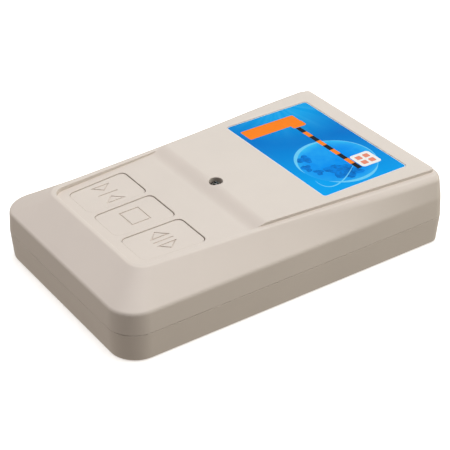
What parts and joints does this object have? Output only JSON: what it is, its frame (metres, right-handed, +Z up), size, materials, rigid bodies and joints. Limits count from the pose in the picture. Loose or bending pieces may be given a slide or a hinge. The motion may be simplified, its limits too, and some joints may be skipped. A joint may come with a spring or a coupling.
{
  "type": "three-key handheld controller",
  "caption": "Handheld controller with a sunken deck of sprung keys, a status light, a raised label panel and a sliding battery door, for working a road barrier.",
  "frame": {"origin": "centre of the case's footprint, on the surface it rests on", "axes": "+Z up through the label panel, +Y along the length from the key end to the label end, +X to the right with the key end towards the user"},
  "size_m": [0.0894, 0.14, 0.0288],
  "materials": {
    "case_plastic": "fine matt moulded ABS, warm beige",
    "label_film": "printed polyester film, satin gloss",
    "board_laminate": "green solder mask on glass laminate",
    "black_plastic": "black moulded plastic",
    "led_resin": "smoked clear resin",
    "can_metal": "nickel plated can",
    "capacitor_sleeve": "shrunk vinyl sleeve",
    "copper_wire": "enamelled copper wire",
    "battery_sleeve": "printed foil jacket, plain",
    "red_insulation": "red wire insulation",
    "black_insulation": "black wire insulation",
    "screw_steel": "zinc plated screw"
  },
  "bodies": {
    "case": {"lower_shell": "case_plastic", "upper_shell": "case_plastic", "label": "label_film", "switch_close": "black_plastic", "switch_stop": "black_plastic", "switch_open": "black_plastic", "circuit_board": "board_laminate", "status_led": "led_resin", "led_spacer": "black_plastic", "controller_chip": "black_plastic", "crystal": "can_metal", "resonator_can": "can_metal", "transistor": "black_plastic", "capacitor": "capacitor_sleeve", "antenna_coil": "copper_wire", "battery": "battery_sleeve", "battery_snap": "black_plastic", "lead_positive": "red_insulation", "lead_negative": "black_insulation", "case_screw_1": "screw_steel", "case_screw_2": "screw_steel", "case_screw_3": "screw_steel", "case_screw_4": "screw_steel", "board_screw_1": "screw_steel", "board_screw_2": "screw_steel", "board_screw_3": "screw_steel", "board_screw_4": "screw_steel"},
    "close_key": {"key_close": "case_plastic", "plunger_close": "black_plastic"},
    "stop_key": {"key_stop": "case_plastic", "plunger_stop": "black_plastic"},
    "open_key": {"key_open": "case_plastic", "plunger_open": "black_plastic"},
    "door": {"battery_door": "case_plastic"}
  },
  "joints": [
    {"name": "close_key_press", "type": "slide", "parent": "case", "child": "close_key", "axis": [0, 0.0217, -0.9998], "range_m": [0, 0.0005], "stiffness_N_per_m": 1200, "springref_m": -0.0004},
    {"name": "stop_key_press", "type": "slide", "parent": "case", "child": "stop_key", "axis": [0, 0.0217, -0.9998], "range_m": [0, 0.0005], "stiffness_N_per_m": 1200, "springref_m": -0.0004},
    {"name": "open_key_press", "type": "slide", "parent": "case", "child": "open_key", "axis": [0, 0.0217, -0.9998], "range_m": [0, 0.0005], "stiffness_N_per_m": 1200, "springref_m": -0.0004},
    {"name": "door_slide", "type": "slide", "parent": "case", "child": "door", "axis": [0, 1, 0], "range_m": [0, 0.058]}
  ]
}
